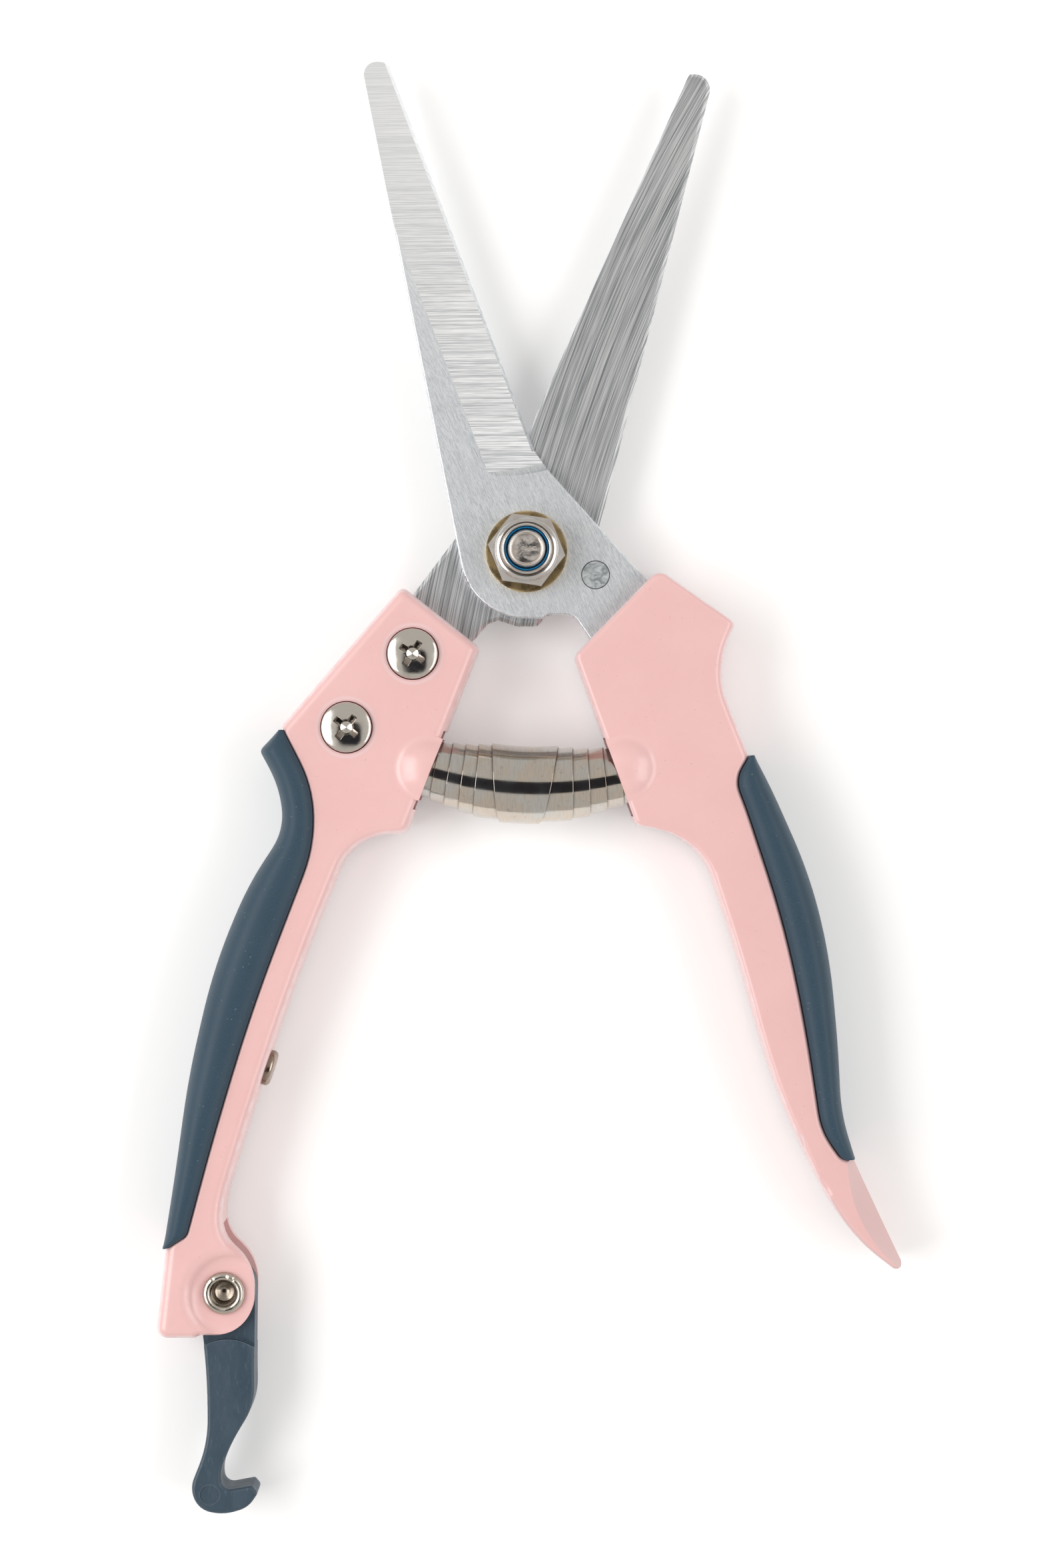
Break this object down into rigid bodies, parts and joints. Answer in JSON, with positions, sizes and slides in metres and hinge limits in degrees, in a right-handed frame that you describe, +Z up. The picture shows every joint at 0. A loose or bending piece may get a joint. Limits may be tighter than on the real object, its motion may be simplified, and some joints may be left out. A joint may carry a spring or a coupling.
{
  "type": "floral snips",
  "caption": "Open hand snips for cut flowers: two straight blades on one pivot, coated handles with soft grips, a coil spring between them and a lock hook.",
  "frame": {"origin": "on the pivot axis, at the underside of the pivot bolt's head, which is the surface that the snips lie on", "axes": "+Z up along the pivot axis, towards the nut; +Y from the handles towards the blade tips; +X towards the right handle"},
  "size_m": [0.1106, 0.2168, 0.017],
  "materials": {
    "handle_paint": "satin-gloss pale pink coating over cast aluminium",
    "grip_rubber": "matte slate-blue soft-touch grip, fine grain",
    "hook_plastic": "satin slate-blue moulded plastic",
    "blade_steel": "ground stainless steel with visible grinding lines",
    "pin_steel": "smooth grey pin face",
    "plated_steel": "bright nickel plating",
    "spring_steel": "bright spring strip",
    "washer_brass": "bright turned brass",
    "nylon": "blue nylon locking ring"
  },
  "bodies": {
    "left_half": {"left_handle": "handle_paint", "left_grip": "grip_rubber", "grip_screw": "plated_steel", "rear_blade": "blade_steel", "rear_blade_screw_upper": "plated_steel", "rear_blade_screw_lower": "plated_steel", "pivot_bolt": "plated_steel", "head_washer": "washer_brass", "pivot_washer": "washer_brass", "pivot_nut": "plated_steel", "nut_nylon_ring": "nylon", "hook_rivet": "plated_steel", "hook_washer": "spring_steel", "volute_spring": "spring_steel"},
    "right_half": {"right_handle": "handle_paint", "right_grip": "grip_rubber", "front_blade": "blade_steel", "stop_pin": "pin_steel", "front_blade_screw_upper": "plated_steel", "front_blade_screw_lower": "plated_steel"},
    "hook": {"lock_hook": "hook_plastic"}
  },
  "joints": [
    {"name": "pivot", "type": "hinge", "parent": "left_half", "child": "right_half", "pos_m": [0, 0, 0], "axis": [0, 0, -1], "range_deg": [0, 36.8], "stiffness_Nm_per_rad": 1, "springref_deg": -14.32, "deforming": ["volute_spring"]},
    {"name": "hook_swing", "type": "hinge", "parent": "left_half", "child": "hook", "pos_m": [-0.045, -0.1102, 0], "axis": [0, 0, 1], "range_deg": [0, 72]}
  ]
}
